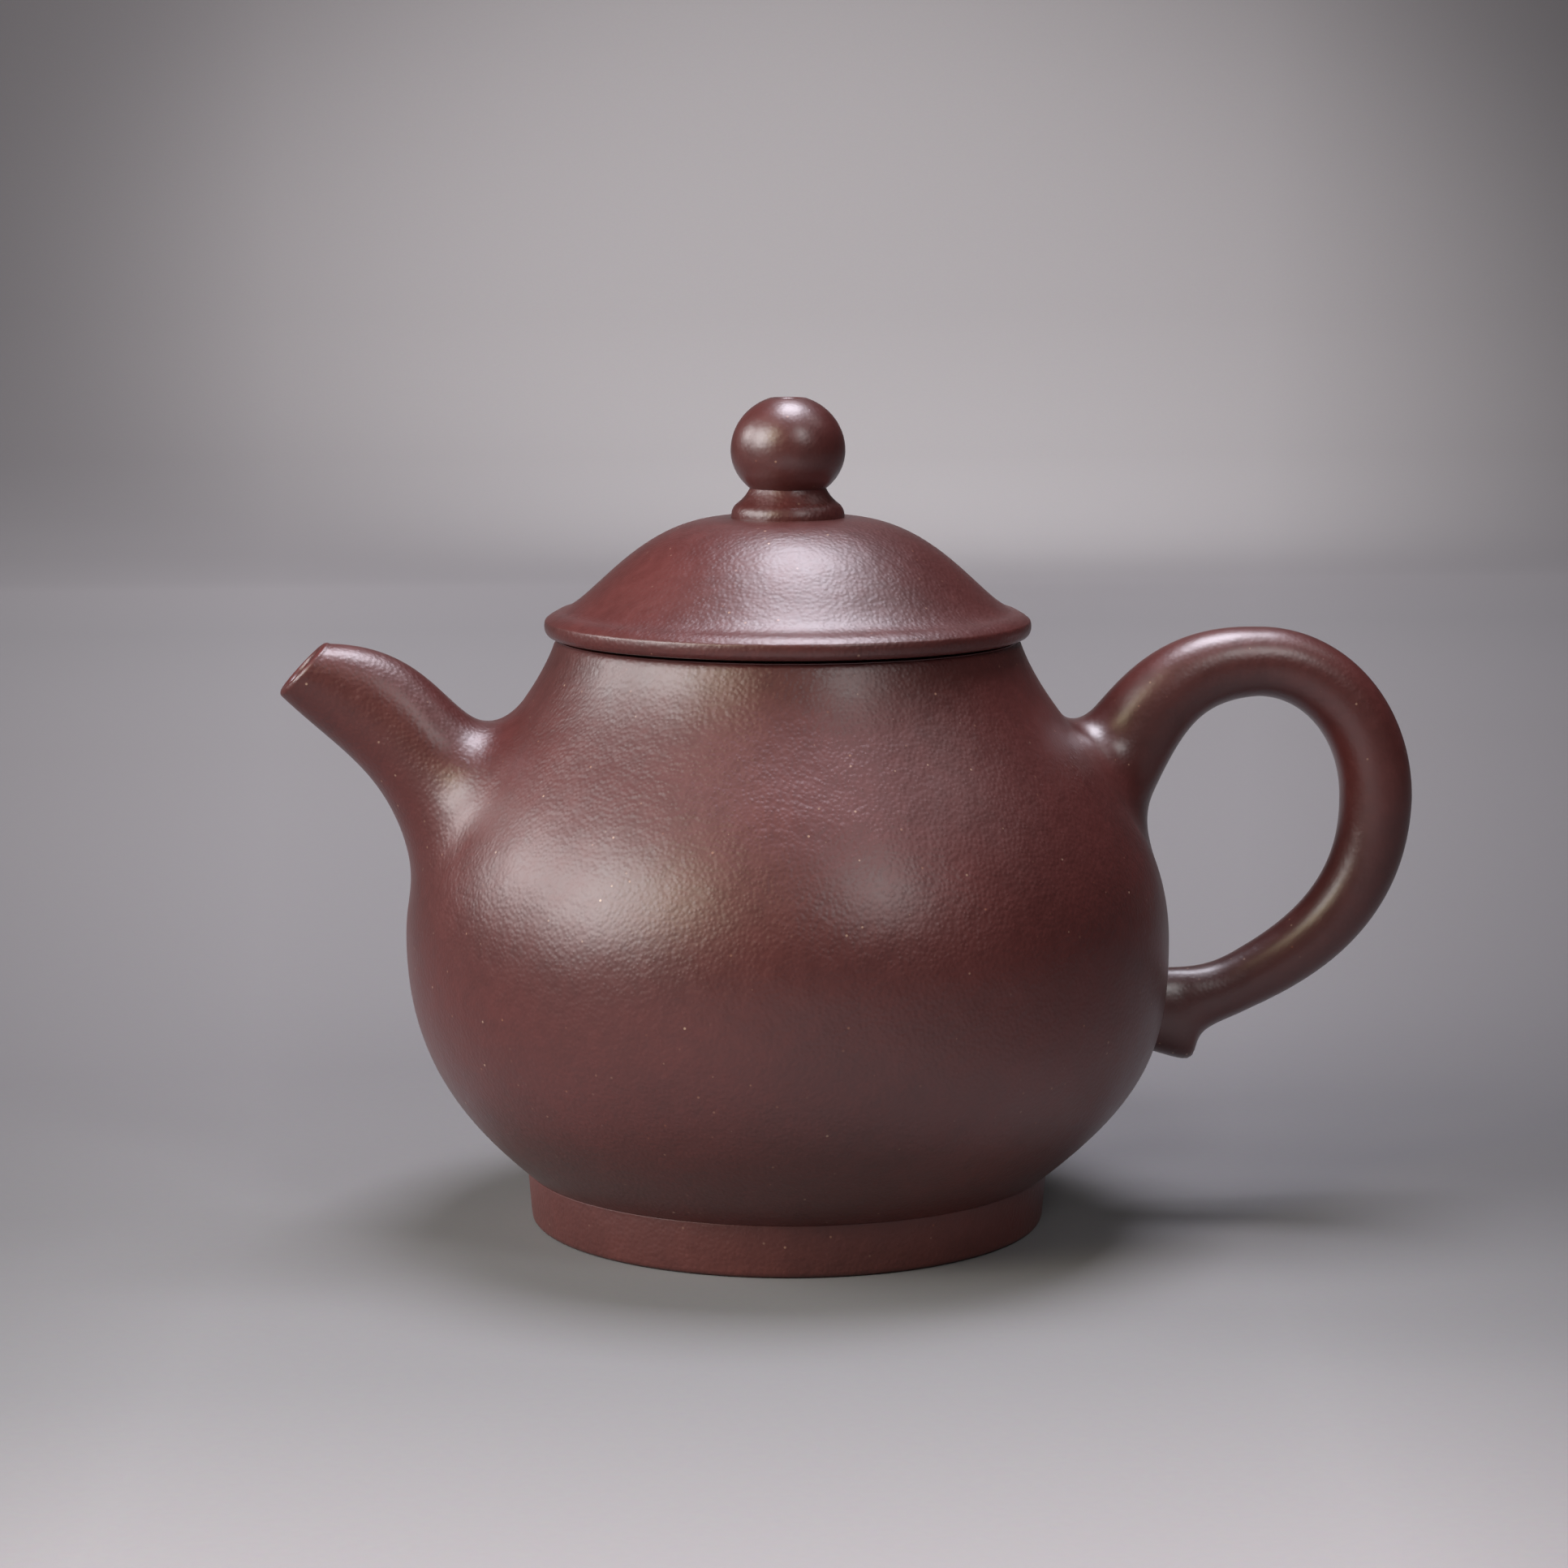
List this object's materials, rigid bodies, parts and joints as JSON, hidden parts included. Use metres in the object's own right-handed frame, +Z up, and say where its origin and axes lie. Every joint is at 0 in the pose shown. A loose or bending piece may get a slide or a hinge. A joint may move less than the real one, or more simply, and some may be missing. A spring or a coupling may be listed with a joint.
{
  "type": "teapot",
  "caption": "Small round unglazed stoneware teapot with a capped lid, ball knob, short tapered spout and ear-shaped handle, for steeping and pouring tea.",
  "frame": {"origin": "on the table, under the middle of the length from the spout's lip to the back of the handle", "axes": "+Z up, +X from the spout towards the handle, +Y across the pot"},
  "size_m": [0.1238, 0.0826, 0.0894],
  "materials": {
    "burnished_clay": "unglazed, burnished to a soft sheen",
    "lid_clay": "unglazed, burnished to a soft sheen",
    "foot_clay": "unglazed, trimmed and left a little matter",
    "plain_clay": "unglazed and unburnished"
  },
  "bodies": {
    "pot": {"foot_ring": "foot_clay", "base_disc": "foot_clay", "body_wall": "burnished_clay", "mouth_ring": "burnished_clay", "spout": "burnished_clay", "spout_strainer": "plain_clay", "handle": "burnished_clay"},
    "lid_plug": {"lid_collar": "plain_clay"},
    "lid_cap": {"lid_rim": "lid_clay", "lid_dome": "lid_clay", "knob_seat": "lid_clay", "knob": "lid_clay"}
  },
  "joints": [
    {"name": "lid_lift", "type": "slide", "parent": "pot", "child": "lid_plug", "axis": [0, 0, 1], "range_m": [0, 0.04]},
    {"name": "lid_turn", "type": "hinge", "parent": "lid_plug", "child": "lid_cap", "pos_m": [-0.00762, 0, 0.0639], "axis": [0, 0, 1], "continuous": true}
  ]
}
